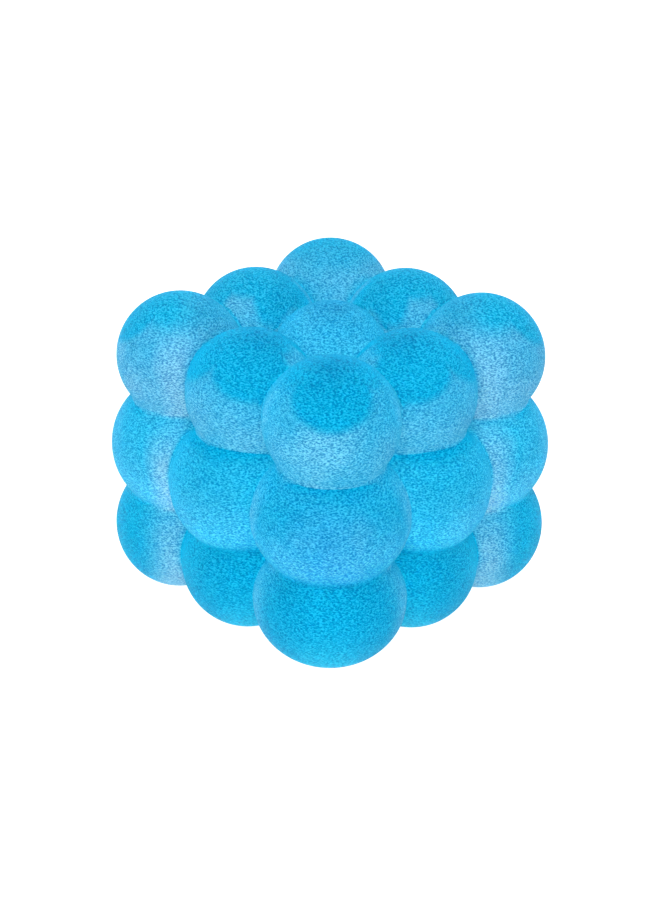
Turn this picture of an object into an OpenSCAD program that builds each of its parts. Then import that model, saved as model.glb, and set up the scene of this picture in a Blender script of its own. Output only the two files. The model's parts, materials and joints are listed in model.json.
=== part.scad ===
// Squeezable stress ball in the form of a block of bubbles.
//
// A hollow one-piece elastomer skin makes three layers of nine overlapping round
// lobes. One body of soft gel fills it through a port in the underside, which a
// barbed stopper and a ring of adhesive close. The weight of the gel settles the
// block: the middle layer bellies out, the bottom layer spreads and rests on nine
// small flats, and the middle of the top sinks a little between its corners.
//
// Frame: +Z up, z = 0 on the flats that the block rests on, and the Z axis
// through the middle of the block. All sizes are in millimetres.

/* [Lobe block] */
// Distance from the block's middle to the centres of its corner lobes, along X and along Y
lobe_pitch = 17.4; // [16:0.1:19]
// Distance between the centres of two layers, before the block settles
layer_pitch = 15.9; // [14.5:0.1:17]
// Diameter of a lobe in the top layer
lobe_d = 20.9; // [19.5:0.1:22]
// Height of the bottom layer's centres above the resting plane
bottom_layer_z = 10; // [9.5:0.1:10.4]

/* [Settling] */
// Growth in diameter of the middle layer's lobes
middle_swell = 2.0; // [0:0.1:3]
// Growth in diameter of the bottom layer's lobes
bottom_swell = 0.9; // [0.3:0.1:2]
// Drop of the upper layers as the bottom lobes flatten under them
bottom_settle = 0.8; // [0:0.1:1.5]
// Outward push on the corner lobes of the middle layer, along X and along Y
middle_spread = 0.3; // [0:0.1:0.8]
// Outward push on the corner lobes of the bottom layer, along X and along Y
bottom_spread = 0.6; // [0:0.1:0.9]
// Outward push on the side lobes of the top layer
top_bulge = 0.5; // [0:0.1:1.5]
// Outward push on the side lobes of the middle layer
middle_bulge = 3.0; // [0:0.1:4]
// Outward push on the side lobes of the bottom layer
bottom_bulge = 1.6; // [0:0.1:3]
// Drop of the top layer's side and centre lobes below its corner lobes
top_sink = 0.8; // [0:0.1:1.5]
// Reduction in diameter of the top layer's centre lobe
top_centre_shrink = 1.2; // [0:0.1:2]

/* [Skin] */
// Wall thickness of the skin
wall_t = 1.6; // [1.2:0.1:2.2]
// Gap drawn between the gel and the skin
gel_gap = 0.05; // [0.02:0.01:0.1]

/* [Filling port] */
// Diameter of the port's bore through the skin
port_d = 5; // [4:0.1:6]
// Diameter of the thickened boss around the port, inside the skin
boss_d = 11; // [9.5:0.1:13]
// Height of the boss's inner end above the resting plane
boss_z = 5.4; // [4.5:0.1:6.5]
// Diameter of the recess that the stopper's head sits in
recess_d = 7.8; // [7.2:0.1:8]
// Depth of that recess
recess_depth = 1.5; // [1.2:0.1:2]

/* [Stopper] */
// Diameter of the stopper's head
head_d = 6.6; // [6:0.1:7]
// Thickness of the stopper's head
head_t = 1.1; // [0.8:0.1:1.2]
// Interference of the stopper's stem in the port, on diameter
press = 0.1; // [0.02:0.01:0.2]
// Largest diameter of the stopper's barb
barb_d = 7; // [6:0.1:8]
// Length of the stopper's barb
barb_l = 2.6; // [2:0.1:3.5]
// Thickness of the adhesive ring around the head
glue_t = 0.8; // [0.5:0.1:1]

/* [Hidden] */
$fn = 96;

// Layers are numbered -1, 0 and 1 from the bottom, and columns -1, 0 and 1
STEPS = [-1, 0, 1];
CORNER = 2;
SIDE = 1;

// How far the core between the lobes stands above and below the outer layers' centres
core_rise = 1;
// Room beyond the block for the cutting solid, and overlap of joined solids
room = 60;
join = 0.5;
// Radius of the barb's nose, as a share of the barb's own radius
nose_share = 0.6;
recess_floor_z = recess_depth;
head_z = recess_floor_z - head_t;

// A column's place in its layer: 0 in the centre, 1 on a side, 2 at a corner
function place(i, j) = abs(i) + abs(j);

function swell(k) = k == 0 ? middle_swell : k < 0 ? bottom_swell : 0;
function bulge(k) = k == 0 ? middle_bulge : k < 0 ? bottom_bulge : top_bulge;
function spread(k) = k == 0 ? middle_spread : k < 0 ? bottom_spread : 0;
function push(i, j, k) = place(i, j) == SIDE ? bulge(k) : spread(k);
function sink(i, j, k) = k == 1 && place(i, j) < CORNER ? top_sink : 0;
function shrink(i, j, k) = k == 1 && place(i, j) == 0 ? top_centre_shrink : 0;
function settle(k) = k < 0 ? 0 : bottom_settle;
function layer_z(k) = bottom_layer_z + (k + 1) * layer_pitch - settle(k);

function reach(i, j, k) = lobe_pitch + push(i, j, k);
function lobe_centre(i, j, k) =
    [i * reach(i, j, k), j * reach(i, j, k), layer_z(k) - sink(i, j, k)];
function lobe_r(i, j, k) = (lobe_d + swell(k) - shrink(i, j, k)) / 2;

// The block of lobes with its outside moved in by inset and its flats moved up by it
module lobe_block(inset) {
    core_half = lobe_pitch - inset;
    core_low = layer_z(-1) - core_rise + inset;
    core_high = layer_z(1) + core_rise - top_sink - inset;
    difference() {
        union() {
            for (i = STEPS, j = STEPS, k = STEPS)
                if (place(i, j) > 0 || k != 0)
                    translate(lobe_centre(i, j, k))
                        sphere(r = lobe_r(i, j, k) - inset);
            translate([-core_half, -core_half, core_low])
                cube([2 * core_half, 2 * core_half, core_high - core_low]);
        }
        translate([-room, -room, inset - room])
            cube([2 * room, 2 * room, room]);
    }
}

// The boss that the port runs through, grown by clear for the gel around it
module port_boss(clear = 0) {
    translate([0, 0, wall_t - join])
        cylinder(d = boss_d + 2 * clear, h = boss_z + clear - wall_t + join);
}

module skin() {
    color([0.1, 0.66, 0.89, 0.7])
        difference() {
            lobe_block(0);
            difference() {
                lobe_block(wall_t);
                port_boss();
            }
            translate([0, 0, -join])
                cylinder(d = port_d, h = boss_z + 2 * join);
            translate([0, 0, -join])
                cylinder(d = recess_d, h = recess_depth + join);
        }
}

// Half-profile of the stopper, from its head's outer face to the barb's nose
module stopper_profile(clear = 0) {
    stem_r = (port_d + press) / 2 + clear;
    barb_r = barb_d / 2 + clear;
    nose_r = barb_d / 2 * nose_share + clear;
    head_r = head_d / 2 + clear;
    polygon([
        [0, head_z - clear],
        [head_r, head_z - clear],
        [head_r, recess_floor_z],
        [stem_r, recess_floor_z],
        [stem_r, boss_z],
        [barb_r, boss_z],
        [nose_r, boss_z + barb_l + clear],
        [0, boss_z + barb_l + clear]
    ]);
}

module fill_plug() {
    color([0.16, 0.6, 0.86])
        rotate_extrude()
            stopper_profile();
}

module glue_ring() {
    color([0.8, 0.9, 0.95, 0.6])
        translate([0, 0, recess_floor_z - glue_t])
            difference() {
                cylinder(d = recess_d - 2 * gel_gap, h = glue_t);
                translate([0, 0, -join])
                    cylinder(d = head_d + 2 * gel_gap, h = glue_t + 2 * join);
            }
}

module gel_filling() {
    color([0.35, 0.78, 0.95, 0.5])
        difference() {
            lobe_block(wall_t + gel_gap);
            port_boss(gel_gap);
            rotate_extrude()
                stopper_profile(gel_gap);
        }
}

skin();
gel_filling();
fill_plug();
glue_ring();
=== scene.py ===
"""Stress ball: the looks of a gel-filled block of bubbles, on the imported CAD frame."""
import json
import math

import bmesh
import bpy
import numpy as np
from mathutils import Matrix, Vector

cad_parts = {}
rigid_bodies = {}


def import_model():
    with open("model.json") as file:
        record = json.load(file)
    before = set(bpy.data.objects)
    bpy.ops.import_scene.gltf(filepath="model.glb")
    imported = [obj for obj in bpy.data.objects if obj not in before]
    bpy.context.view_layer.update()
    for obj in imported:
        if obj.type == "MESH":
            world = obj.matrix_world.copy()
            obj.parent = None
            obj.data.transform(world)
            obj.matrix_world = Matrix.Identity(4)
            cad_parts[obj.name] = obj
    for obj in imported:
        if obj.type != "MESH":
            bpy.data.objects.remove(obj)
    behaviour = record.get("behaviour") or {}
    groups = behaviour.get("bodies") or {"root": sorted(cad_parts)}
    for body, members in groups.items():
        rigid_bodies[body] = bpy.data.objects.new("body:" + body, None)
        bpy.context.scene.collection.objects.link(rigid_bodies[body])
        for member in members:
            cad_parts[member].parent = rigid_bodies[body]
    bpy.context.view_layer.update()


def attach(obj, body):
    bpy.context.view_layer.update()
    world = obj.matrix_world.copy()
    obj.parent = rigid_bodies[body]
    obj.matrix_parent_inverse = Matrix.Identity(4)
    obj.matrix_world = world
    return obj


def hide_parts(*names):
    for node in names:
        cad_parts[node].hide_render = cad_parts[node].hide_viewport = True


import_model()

MM = 0.001
TINY = 1e-9

# The lobe block's driving sizes, as in the CAD model, with radii for its diameters.
# Layers are numbered -1, 0 and 1 from the bottom
LOBE_PITCH = 17.4 * MM
LAYER_PITCH = 15.9 * MM
LOBE_R = 10.45 * MM
BOTTOM_LAYER_Z = 10.0 * MM
BOTTOM_SETTLE = 0.8 * MM
SWELL = {-1: 0.45 * MM, 0: 1.0 * MM, 1: 0.0}
BULGE = {-1: 1.6 * MM, 0: 3.0 * MM, 1: 0.5 * MM}
SPREAD = {-1: 0.6 * MM, 0: 0.3 * MM, 1: 0.0}
TOP_SINK = 0.8 * MM
TOP_CENTRE_SHRINK = 0.6 * MM
CORE_RISE = 1.0 * MM
WALL = 1.6 * MM
GEL_GAP = 0.05 * MM
PORT_R = 2.5 * MM
PORT_TOP = 5.4 * MM
RECESS_R = 3.9 * MM
RECESS_DEPTH = 1.5 * MM
STEPS = (-1, 0, 1)
SIDE = 1
CORNER = 2

# How much wider than tall the squashed corner lobes are, by layer
CORNER_WIDTH = {-1: 1.12, 0: 1.10, 1: 1.02}

# How softly the lobes run into each other, and the radius of the core's edges
BLEND = 0.35 * MM
CORE_EDGE_R = 3.0 * MM

# How finely the skin and the gel are meshed, and how often a mesh is relaxed and drawn
# onto the smooth block; the last rounds only draw
SKIN_VOXEL = 0.55 * MM
GEL_VOXEL = 0.9 * MM
ROUNDS = 8
RELAXED_ROUNDS = 6
DRAWS_PER_ROUND = 2
LEAST_SLOPE = 0.05


# ---------------------------------------------------------------- shape


def layer_z(k):
    """Height of a layer's centres, with the upper layers settled onto the bottom one."""
    return BOTTOM_LAYER_Z + (k + 1) * LAYER_PITCH - (BOTTOM_SETTLE if k > -1 else 0.0)


def lobes(inset):
    """Each of the 26 lobes: its centre, radius less the inset, widening and its direction."""
    made = []
    for k in STEPS:
        for j in STEPS:
            for i in STEPS:
                place = abs(i) + abs(j)
                if place == 0 and k == 0:
                    continue
                reach = LOBE_PITCH + (BULGE[k] if place == SIDE else SPREAD[k])
                radius = LOBE_R + SWELL[k] - inset
                z = layer_z(k)
                if k == 1 and place < CORNER:
                    z -= TOP_SINK
                if k == 1 and place == 0:
                    radius -= TOP_CENTRE_SHRINK
                width = CORNER_WIDTH[k] if place == CORNER else 1.0
                sideways = np.array([-j, i, 0.0]) / math.sqrt(2)
                made.append((np.array([i * reach, j * reach, z]), radius, width, sideways))
    return made


def core_distance(p, inset):
    """Signed distance and outward normal of the rounded core between the lobes."""
    low_z = layer_z(-1) - CORE_RISE
    high_z = layer_z(1) + CORE_RISE - TOP_SINK
    middle = np.array([0.0, 0.0, (low_z + high_z) / 2])
    half = np.array([LOBE_PITCH, LOBE_PITCH, (high_z - low_z) / 2]) - inset - CORE_EDGE_R
    q = p - middle
    over = np.abs(q) - half
    out = np.maximum(over, 0.0)
    length = np.linalg.norm(out, axis=1)
    inside = np.minimum(over.max(axis=1), 0.0)
    distance = length + inside - CORE_EDGE_R
    normal = np.sign(q) * out / np.maximum(length, TINY)[:, None]
    return distance, normal


def lobe_distance(p, centre, radius, width, sideways):
    """Distance to one lobe, squeezed along its sideways direction, and its gradient."""
    squeeze = 1 - 1 / width
    away = p - centre
    away -= np.outer(away @ sideways, squeeze * sideways)
    length = np.maximum(np.linalg.norm(away, axis=1), TINY)
    away /= length[:, None]
    away -= np.outer(away @ sideways, squeeze * sideways)
    return length - radius, away


def block_distance(p, inset):
    """Signed distance to the smoothly joined block, and its gradient."""
    terms = [lobe_distance(p, *lobe) for lobe in lobes(inset)]
    terms.append(core_distance(p, inset))
    best = np.min([distance for distance, _ in terms], axis=0)
    weight_sum = np.zeros(len(p))
    gradient = np.zeros_like(p)
    for distance, normal in terms:
        weight = np.exp(-(distance - best) / BLEND)
        weight_sum += weight
        gradient += weight[:, None] * normal
    gradient /= weight_sum[:, None]
    return best - BLEND * np.log(weight_sum), gradient


def new_object(name, mesh):
    obj = bpy.data.objects.new(name, mesh)
    bpy.context.scene.collection.objects.link(obj)
    return obj


def shade_smooth(obj, sharp_angle=50):
    mesh = obj.data
    mesh.polygons.foreach_set("use_smooth", [True] * len(mesh.polygons))
    mesh.set_sharp_from_angle(angle=math.radians(sharp_angle))
    mesh.update()


def applied(obj):
    """The object's mesh with its modifiers applied; the object itself is removed."""
    graph = bpy.context.evaluated_depsgraph_get()
    result = bpy.data.meshes.new_from_object(obj.evaluated_get(graph))
    bpy.data.objects.remove(obj)
    return result


def rough_block(inset, voxel):
    """Round lobes and the core as one voxel mesh, to be drawn onto the smooth block."""
    bm = bmesh.new()
    for centre, radius, _, _ in lobes(inset):
        made = bmesh.ops.create_icosphere(bm, subdivisions=4, radius=radius)
        bmesh.ops.translate(bm, verts=made["verts"], vec=centre)
    made = bmesh.ops.create_cube(bm, size=2.0)
    middle_z = (layer_z(1) + layer_z(-1)) / 2
    size = Vector((LOBE_PITCH - inset, LOBE_PITCH - inset, middle_z - layer_z(-1)))
    bmesh.ops.scale(bm, verts=made["verts"], vec=size)
    bmesh.ops.translate(bm, verts=made["verts"], vec=(0, 0, middle_z))
    mesh = bpy.data.meshes.new("rough")
    bm.to_mesh(mesh)
    bm.free()
    rough = new_object("rough", mesh)
    remesh = rough.modifiers.new("voxels", "REMESH")
    remesh.mode = "VOXEL"
    remesh.voxel_size = voxel
    return applied(rough)


def read_points(mesh):
    flat = np.zeros(len(mesh.vertices) * 3)
    mesh.vertices.foreach_get("co", flat)
    return flat.reshape(-1, 3)


def read_edges(mesh):
    flat = np.zeros(len(mesh.edges) * 2, dtype=np.int64)
    mesh.edges.foreach_get("vertices", flat)
    return flat.reshape(-1, 2)


def relax(p, edges, amount=0.5):
    """Every point moves part of the way to the mean of its neighbours."""
    total_of = np.zeros_like(p)
    count = np.zeros(len(p))
    for a, b in ((0, 1), (1, 0)):
        np.add.at(total_of, edges[:, a], p[edges[:, b]])
        np.add.at(count, edges[:, a], 1.0)
    return p + amount * (total_of / count[:, None] - p)


def smooth_block(name, inset, voxel):
    """A closed mesh of the smoothly joined block, flat where it rests."""
    mesh = rough_block(inset, voxel)
    p = read_points(mesh)
    edges = read_edges(mesh)
    furthest = 2 * voxel
    for step in range(ROUNDS):
        if step < RELAXED_ROUNDS:
            p = relax(p, edges)
        for _ in range(DRAWS_PER_ROUND):
            distance, gradient = block_distance(p, inset)
            square = np.maximum((gradient ** 2).sum(axis=1), LEAST_SLOPE)
            p -= np.clip(distance / square, -furthest, furthest)[:, None] * gradient
    p[:, 2] = np.maximum(p[:, 2], inset)
    mesh.vertices.foreach_set("co", p.ravel())
    mesh.update()
    return new_object(name, mesh)


def turned(name, profile, sides=64):
    """A closed solid turned about Z from its half-profile of (radius, height) points."""
    bm = bmesh.new()
    rings = []
    for radius, z in profile:
        count = sides if radius > 0 else 1
        angles = [math.tau * s / count for s in range(count)]
        rings.append([
            bm.verts.new((radius * math.cos(a), radius * math.sin(a), z)) for a in angles
        ])
    for low, high in zip(rings, rings[1:]):
        for s in range(sides):
            corners = [
                low[s % len(low)], low[(s + 1) % len(low)],
                high[(s + 1) % len(high)], high[s % len(high)],
            ]
            bm.faces.new(list(dict.fromkeys(corners)))
    bmesh.ops.recalc_face_normals(bm, faces=bm.faces)
    mesh = bpy.data.meshes.new(name)
    bm.to_mesh(mesh)
    bm.free()
    return new_object(name, mesh)


def cut(obj, cutter):
    """The object with the cutter's shape taken out of it."""
    name = obj.name
    tool = obj.modifiers.new("cut", "BOOLEAN")
    tool.operation = "DIFFERENCE"
    tool.solver = "EXACT"
    tool.object = cutter
    mesh = applied(obj)
    bpy.data.objects.remove(cutter)
    return new_object(name, mesh)


# ------------------------------------------------------- material tools


def node(tree, kind, **values):
    made = tree.nodes.new(kind)
    for key, value in values.items():
        setattr(made, key, value)
    return made


def object_point(tree):
    """The shaded place in the object's own frame, in metres."""
    return node(tree, "ShaderNodeTexCoord").outputs["Object"]


def new_material(name):
    material = bpy.data.materials.new(name)
    material.use_nodes = True
    return material, material.node_tree, material.node_tree.nodes["Principled BSDF"]


def plug(tree, socket, value):
    """A socket takes a link from another socket, or a plain value."""
    if isinstance(value, bpy.types.NodeSocket):
        tree.links.new(value, socket)
    else:
        socket.default_value = value


def maths(tree, operation, *values):
    made = node(tree, "ShaderNodeMath", operation=operation)
    for socket, value in zip(made.inputs, values):
        plug(tree, socket, value)
    return made.outputs[0]


def total(tree, *values):
    amount = values[0]
    for value in values[1:]:
        amount = maths(tree, "ADD", amount, value)
    return amount


def product(tree, *values):
    amount = values[0]
    for value in values[1:]:
        amount = maths(tree, "MULTIPLY", amount, value)
    return amount


def largest(tree, *values):
    amount = values[0]
    for value in values[1:]:
        amount = maths(tree, "MAXIMUM", amount, value)
    return amount


def rest_of(tree, value):
    """1 less the value."""
    return maths(tree, "SUBTRACT", 1.0, value)


def rise(tree, value, low, high, start=0.0, end=1.0):
    """Goes smoothly from start to end as the value goes from low to high."""
    made = node(tree, "ShaderNodeMapRange", interpolation_type="SMOOTHSTEP")
    for socket, setting in zip(made.inputs, (value, low, high, start, end)):
        plug(tree, socket, setting)
    return made.outputs[0]


def blended(tree, amount, first, second, how="MIX"):
    """Two colours mixed or multiplied by an amount that may go beyond 1."""
    made = node(tree, "ShaderNodeMix", data_type="RGBA", blend_type=how, clamp_factor=False)
    for name, value in (("Factor_Float", amount), ("A_Color", first), ("B_Color", second)):
        plug(tree, next(s for s in made.inputs if s.identifier == name), value)
    return next(s for s in made.outputs if s.identifier == "Result_Color")


def split(tree, vector):
    made = node(tree, "ShaderNodeSeparateXYZ")
    tree.links.new(vector, made.inputs[0])
    return made.outputs


def scaled(tree, vector, factors):
    made = node(tree, "ShaderNodeVectorMath", operation="MULTIPLY")
    tree.links.new(vector, made.inputs[0])
    made.inputs[1].default_value = factors
    return made.outputs[0]


def flat_direction(tree, vector):
    """The direction of a vector seen from above."""
    unit = node(tree, "ShaderNodeVectorMath", operation="NORMALIZE")
    tree.links.new(scaled(tree, vector, (1, 1, 0)), unit.inputs[0])
    return unit.outputs[0]


def dot(tree, first, second):
    made = node(tree, "ShaderNodeVectorMath", operation="DOT_PRODUCT")
    tree.links.new(first, made.inputs[0])
    tree.links.new(second, made.inputs[1])
    return made.outputs["Value"]


def noise(tree, point, size, detail=2.0, curl=0.0):
    made = node(tree, "ShaderNodeTexNoise")
    made.inputs["Scale"].default_value = 1 / size
    made.inputs["Detail"].default_value = detail
    made.inputs["Distortion"].default_value = curl
    tree.links.new(point, made.inputs["Vector"])
    return made.outputs["Fac"]


def ripples(tree, point, pitch, flatness=2.2):
    """Short worm-like ridges lying level: 1 along their backs, 0 in the furrows between."""
    flat = scaled(tree, point, (1, 1, flatness))
    waves = noise(tree, flat, size=0.6 * pitch, detail=0.3, curl=0.5)
    return rise(tree, waves, 0.3, 0.7)


def roughen(tree, shader, height, depth):
    bump = node(tree, "ShaderNodeBump")
    bump.inputs["Distance"].default_value = depth
    tree.links.new(height, bump.inputs["Height"])
    tree.links.new(bump.outputs["Normal"], shader.inputs["Normal"])


def absorb(tree, colour, density):
    """Light is dyed on its way through the material."""
    inside = node(tree, "ShaderNodeVolumeAbsorption")
    inside.inputs["Color"].default_value = colour
    inside.inputs["Density"].default_value = density
    tree.links.new(inside.outputs[0], tree.nodes["Material Output"].inputs["Volume"])


# ------------------------------------------------------------ materials

# The skin's blue over each layer, as painted lit and shaded copies of one dye, the painted light
# at its palest, and the painted shade of furrows and painted highlights of ridges
BOTTOM_BLUE = (0.0003, 0.415, 0.72, 1)
MIDDLE_BLUE_PAINTED_LIGHT = (0.0003, 0.45, 0.77, 1)
TOP_BLUE_PAINTED_SHADE = (0.0003, 0.36, 0.66, 1)
PAINTED_LIGHT_BLUE = (0.28, 0.52, 0.77, 1)
FURROW_PAINTED_SHADE = (0.34, 0.38, 0.54, 1)
RIDGE_PAINTED_HIGHLIGHT = (1.35, 1.42, 1.12, 1)

# The skin's grain and the stopper's, and the size of the clouds in the dyes and the adhesive
GRAIN_PITCH = 0.57 * MM
GRAIN_DEPTH = 0.12 * MM
PLUG_GRAIN = 0.25 * MM
PLUG_GRAIN_DEPTH = 0.04 * MM
SKIN_CLOUD = 9 * MM
GEL_CLOUD = 12 * MM
GLUE_CLOUD = 1.2 * MM
GLUE_UNEVENNESS = 0.15 * MM

# How far the painted dark caps lean out along the diagonals from straight up
CAP_TILT = math.radians(39)

# Where the centre column ends, how near the axes' planes the corner columns begin, and
# half the width of the band in which one layer's colour turns into the next one's
CENTRE_EDGE = (8.5 * MM, 10 * MM)
CORNER_EDGE = (7 * MM, 10 * MM)
CREASE_BAND = 1.2 * MM

# The limits of the zones below are heights and shares of a surface's direction


def facing_out(tree, point, normal):
    """How far the surface faces out along its own quarter's diagonal, seen from above."""
    x, y, _ = split(tree, point)
    nx, ny, _ = split(tree, normal)
    along = total(
        tree,
        product(tree, nx, maths(tree, "SIGN", x)),
        product(tree, ny, maths(tree, "SIGN", y)),
    )
    return product(tree, along, math.sqrt(0.5))


def off_centre(tree, point):
    """0 on the centre column and 1 on the eight around it."""
    x, y, _ = split(tree, point)
    across = maths(tree, "SQRT", total(tree, product(tree, x, x), product(tree, y, y)))
    return rise(tree, across, *CENTRE_EDGE)


def near_corner(tree, point):
    """1 on the corner columns and 0 on the side and centre ones."""
    x, y, _ = split(tree, point)
    nearer = maths(tree, "MINIMUM", maths(tree, "ABSOLUTE", x), maths(tree, "ABSOLUTE", y))
    return rise(tree, nearer, *CORNER_EDGE)


def above_crease(tree, point, k):
    """1 above the crease under a layer, and 0 below it."""
    z = split(tree, point)[2]
    crease = (layer_z(k - 1) + layer_z(k)) / 2
    return rise(tree, z, crease - CREASE_BAND, crease + CREASE_BAND)


def painted_dark_caps(tree, point, normal):
    """1 on the top lobes' upper sides: painted dark caps, painted shade for looking down into
    the thick of the gel.
    """
    nz = split(tree, normal)[2]
    facing = facing_out(tree, point, normal)
    corner = near_corner(tree, point)
    # A round painted dark cap on every lobe, leaning out along its quarter's diagonal
    lean = total(
        tree,
        product(tree, facing, math.sin(CAP_TILT)),
        product(tree, nz, math.cos(CAP_TILT)),
    )
    # The side lobes get painted shade on top and down towards the centre lobe too
    outward = dot(tree, flat_direction(tree, point), flat_direction(tree, normal))
    inward = product(tree, rise(tree, nz, 0.25, 0.6), rise(tree, outward, -0.25, -0.55))
    side_cap = product(
        tree, rest_of(tree, corner), largest(tree, rise(tree, nz, 0.7, 0.88), inward)
    )
    # The corner lobes get painted shade on top, and half as much on the side that faces inwards
    corner_cap = product(
        tree, corner, rise(tree, nz, 0.6, 0.9), rise(tree, facing, -0.4, 0.2, 0.5, 1.0)
    )
    cap = largest(tree, rise(tree, lean, 0.78, 0.9), side_cap, corner_cap)
    return product(tree, cap, off_centre(tree, point), above_crease(tree, point, 1))


def painted_paleness(tree, point, normal):
    """Painted light: how pale the skin is painted, least on the bottom layer, more up the layers
    and on undersides, and most on the corners' flanks and noses.
    """
    top = above_crease(tree, point, 1)
    middle = above_crease(tree, point, 0)
    facing = facing_out(tree, point, normal)
    nz = split(tree, normal)[2]
    # Each layer's own painted light, which grows from its upper sides to its undersides
    row = total(
        tree,
        0.02,
        product(tree, middle, 0.38),
        product(tree, top, rise(tree, off_centre(tree, point), 0.0, 1.0, 0.1, 0.25)),
    )
    row = product(tree, row, rise(tree, nz, 0.5, -0.3, 0.75, 1.35))
    # Painted light on the upper corner lobes' outermost sides
    nose = product(
        tree,
        total(tree, product(tree, middle, 0.55), product(tree, top, 0.37)),
        rise(tree, facing, 0.5, 1.0),
    )
    # Painted light on the corner lobes' flanks, to the left and right of their diagonals
    flank = product(
        tree,
        rise(tree, maths(tree, "ABSOLUTE", facing), 0.8, 0.1, 0.0, 1.05),
        rise(tree, nz, 0.1, 0.95, 1.0, 0.3),
    )
    corner = product(tree, near_corner(tree, point), largest(tree, nose, flank))
    return largest(tree, row, corner)


def skin_colour(tree, point, normal, ridges):
    """Blue dye with painted light and shade: lit and shaded copies by layer, painted light where
    it is paler, painted dark caps, painted shade in the furrows and painted highlights along the
    ridges.
    """
    painted_pale = product(
        tree,
        painted_paleness(tree, point, normal),
        rest_of(tree, painted_dark_caps(tree, point, normal)),
        rise(tree, noise(tree, point, SKIN_CLOUD), 0.3, 0.7, 0.85, 1.15),
        rise(tree, ridges, 0.0, 1.0, 0.75, 1.12),
    )
    middle = above_crease(tree, point, 0)
    top = above_crease(tree, point, 1)
    # Painted lit and shaded copies of the dye by layer: the top painted darker, the middle
    # lighter
    layer_shade_blue = blended(tree, middle, BOTTOM_BLUE, MIDDLE_BLUE_PAINTED_LIGHT)
    layer_shade_blue = blended(tree, top, layer_shade_blue, TOP_BLUE_PAINTED_SHADE)
    # The painted light's share is squared, since light crosses the skin going in and coming out;
    # the ridges' backs get a little painted highlight on top
    painted_light_share = total(tree, product(tree, painted_pale, painted_pale), rise(tree, ridges, 0.4, 1.0, 0.0, 0.02))
    dye_and_painted_light = blended(tree, painted_light_share, layer_shade_blue, PAINTED_LIGHT_BLUE)
    # The middle lobes' undersides and the corners' noses pick up the light of those below,
    # and the sunken centre lobe that of those around it
    under = rise(tree, split(tree, normal)[2], 0.3, -0.6, 0.0, 0.55)
    facing = facing_out(tree, point, normal)
    nose = product(tree, near_corner(tree, point), rise(tree, facing, 0.7, 1.0, 0.0, 0.1))
    lit = total(
        tree,
        1.0,
        product(tree, middle, rest_of(tree, top), total(tree, under, nose)),
        product(tree, top, rest_of(tree, off_centre(tree, point)), 0.15),
    )
    dye_and_painted_light = blended(tree, 1.0, dye_and_painted_light, lit, "MULTIPLY")
    # Painted shade in the furrows and painted highlights along the ridges
    return blended(tree, 1.0, dye_and_painted_light, blended(tree, ridges, FURROW_PAINTED_SHADE, RIDGE_PAINTED_HIGHLIGHT), "MULTIPLY")


def skin_material():
    """Frosted translucent elastomer with a blue bloom, covered in fine worm-like grain."""
    material, tree, shader = new_material("skin_elastomer")
    coords = node(tree, "ShaderNodeTexCoord")
    point, normal = coords.outputs["Object"], coords.outputs["Normal"]
    ridges = ripples(tree, point, GRAIN_PITCH)
    plug(tree, shader.inputs["Base Color"], skin_colour(tree, point, normal, ridges))
    shader.inputs["Roughness"].default_value = 0.55
    shader.inputs["IOR"].default_value = 1.18
    shader.inputs["Specular IOR Level"].default_value = 0.2
    shader.inputs["Specular Tint"].default_value = (0.1, 0.8, 1.0, 1)
    shader.inputs["Transmission Weight"].default_value = 0.82
    shader.inputs["Sheen Weight"].default_value = 0.85
    shader.inputs["Sheen Roughness"].default_value = 0.3
    shader.inputs["Sheen Tint"].default_value = (0.0, 0.38, 0.64, 1)
    shader.inputs["Subsurface Weight"].default_value = 0.3
    shader.inputs["Subsurface Radius"].default_value = (0.3, 0.8, 1.0)
    shader.inputs["Subsurface Scale"].default_value = 1 * MM
    roughen(tree, shader, ridges, GRAIN_DEPTH)
    return material


def gel_material():
    """Clear dyed gel, hardly denser than the skin around it."""
    material, tree, shader = new_material("gel")
    point = object_point(tree)
    flow = rise(tree, noise(tree, point, GEL_CLOUD), 0.3, 0.7)
    clear = blended(tree, flow, (0.96, 0.99, 1, 1), (1, 1, 1, 1))
    plug(tree, shader.inputs["Base Color"], clear)
    shader.inputs["Roughness"].default_value = 0.0
    shader.inputs["IOR"].default_value = 1.01
    shader.inputs["Transmission Weight"].default_value = 1.0
    absorb(tree, (0.0, 0.97, 0.99, 1), 12.0)
    return material


def plug_material():
    """The stopper's darker elastomer: satin, with fine moulding grain."""
    material, tree, shader = new_material("plug_elastomer")
    point = object_point(tree)
    grain = noise(tree, point, PLUG_GRAIN, detail=4.0)
    colour = blended(tree, grain, (0.01, 0.2, 0.5, 1), (0.02, 0.32, 0.68, 1))
    plug(tree, shader.inputs["Base Color"], colour)
    plug(tree, shader.inputs["Roughness"], rise(tree, grain, 0.3, 0.7, 0.35, 0.55))
    shader.inputs["Subsurface Weight"].default_value = 0.3
    shader.inputs["Subsurface Scale"].default_value = 1 * MM
    roughen(tree, shader, grain, PLUG_GRAIN_DEPTH)
    return material


def glue_material():
    """Cured adhesive: glossy, cloudy and a little uneven."""
    material, tree, shader = new_material("adhesive")
    point = object_point(tree)
    cloud = noise(tree, point, GLUE_CLOUD, detail=3.0)
    colour = blended(tree, cloud, (0.62, 0.78, 0.86, 1), (0.82, 0.92, 0.96, 1))
    plug(tree, shader.inputs["Base Color"], colour)
    shader.inputs["Roughness"].default_value = 0.15
    shader.inputs["Subsurface Weight"].default_value = 0.6
    shader.inputs["Subsurface Scale"].default_value = 1 * MM
    roughen(tree, shader, cloud, GLUE_UNEVENNESS)
    return material


# ---------------------------------------------------------------- stage


# Half the table's side, which keeps its far edge out of all but the lowest views, and how
# much light it sends back besides its own glow
TABLE_HALF = 8.0
TABLE_GREY = 0.3


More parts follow.
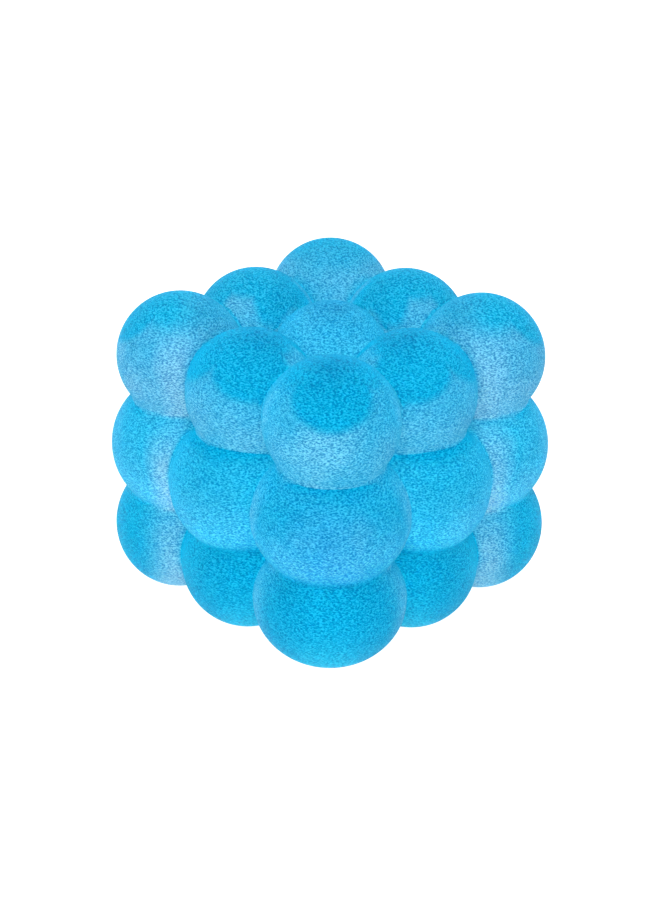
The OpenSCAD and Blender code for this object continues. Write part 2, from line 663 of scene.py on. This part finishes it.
def make_stage():
    """A white table that glows softly, as a light table does, and fills the view."""
    mesh = bpy.data.meshes.new("table")
    corners = [
        (-TABLE_HALF, -TABLE_HALF, 0), (TABLE_HALF, -TABLE_HALF, 0),
        (TABLE_HALF, TABLE_HALF, 0), (-TABLE_HALF, TABLE_HALF, 0),
    ]
    mesh.from_pydata(corners, [], [(0, 1, 2, 3)])
    table = new_object("table", mesh)
    material, _, shader = new_material("table")
    shader.inputs["Base Color"].default_value = (TABLE_GREY, TABLE_GREY, TABLE_GREY, 1)
    shader.inputs["Roughness"].default_value = 0.7
    shader.inputs["Emission Color"].default_value = (1, 1, 1, 1)
    shader.inputs["Emission Strength"].default_value = 1.0
    table.data.materials.append(material)


# Where the camera stands, how far it is turned about its own axis, and how far it is
# lowered in its own frame to centre the block in the picture
AZIMUTH = math.radians(44.5)
ELEVATION = math.radians(27.3)
ROLL = math.radians(0.6)
DISTANCE = 315 * MM
LOWERED = 1.34 * MM
LENS = 75.2

TO_CAMERA = Vector((math.sin(AZIMUTH), -math.cos(AZIMUTH), 0))
TO_LEFT = Vector((-math.cos(AZIMUTH), -math.sin(AZIMUTH), 0))
UP = Vector((0, 0, 1))
BLOCK_MIDDLE = UP * layer_z(0)

# The softbox's side and power, and its place: left of the camera's line, forward and up
SOFTBOX_SIDE = 0.2
SOFTBOX_POWER = 3.0
SOFTBOX_PLACE = TO_LEFT * 0.03 + TO_CAMERA * 0.32 + UP * 0.25
ROOM_BRIGHTNESS = 0.9

# Light crosses many frosted faces on its way through the block
BOUNCES = 24


def make_camera():
    """The photograph's view: corner-on from above."""
    back = TO_CAMERA * math.cos(ELEVATION) + UP * math.sin(ELEVATION)
    data = bpy.data.cameras.new("camera")
    data.lens = LENS
    data.clip_start = 10 * MM
    camera = new_object("camera", data)
    turn = (-back).to_track_quat("-Z", "Y")
    up = turn @ Vector((0, 1, 0))
    place = BLOCK_MIDDLE + back * DISTANCE - up * LOWERED
    roll = Matrix.Rotation(ROLL, 4, "Z")
    camera.matrix_world = Matrix.Translation(place) @ turn.to_matrix().to_4x4() @ roll
    bpy.context.scene.camera = camera


def make_lights():
    """A white room, and one softbox over the camera."""
    world = bpy.data.worlds.new("studio")
    world.use_nodes = True
    background = world.node_tree.nodes["Background"]
    background.inputs["Color"].default_value = (1, 1, 1, 1)
    background.inputs["Strength"].default_value = ROOM_BRIGHTNESS
    bpy.context.scene.world = world
    data = bpy.data.lights.new("softbox", "AREA")
    data.shape = "SQUARE"
    data.size = SOFTBOX_SIDE
    data.energy = SOFTBOX_POWER
    softbox = new_object("softbox", data)
    softbox.location = SOFTBOX_PLACE
    aim = BLOCK_MIDDLE - SOFTBOX_PLACE
    softbox.rotation_mode = "QUATERNION"
    softbox.rotation_quaternion = aim.to_track_quat("-Z", "Y")


# --------------------------------------------------------------- pieces


def make_skin():
    """The skin's outside, with the filling port and its recess cut into the underside."""
    skin = smooth_block("skin_block", 0.0, SKIN_VOXEL)
    below = -1 * MM
    port = turned("port", [
        (0, below), (RECESS_R, below), (RECESS_R, RECESS_DEPTH),
        (PORT_R, RECESS_DEPTH), (PORT_R, PORT_TOP), (0, PORT_TOP),
    ])
    skin = cut(skin, port)
    shade_smooth(skin)
    skin.data.materials.clear()
    skin.data.materials.append(skin_material())
    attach(skin, "root")
    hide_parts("skin")


def make_gel():
    """The gel body: the same block, moved in by the skin's wall."""
    gel = smooth_block("gel_body", WALL + GEL_GAP, GEL_VOXEL)
    shade_smooth(gel)
    gel.data.materials.append(gel_material())
    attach(gel, "root")
    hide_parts("gel_filling")


def dress(node_name, material):
    """A CAD node keeps its shape and gets a better material."""
    for obj in bpy.data.objects:
        if obj.type == "MESH" and obj.name.split(".")[0] == node_name:
            obj.data.materials.clear()
            obj.data.materials.append(material)


make_skin()
make_gel()
dress("fill_plug", plug_material())
dress("glue_ring", glue_material())

make_stage()
make_camera()
make_lights()
scene = bpy.context.scene
scene.view_settings.view_transform = "Standard"
scene.cycles.max_bounces = BOUNCES
scene.cycles.transmission_bounces = BOUNCES
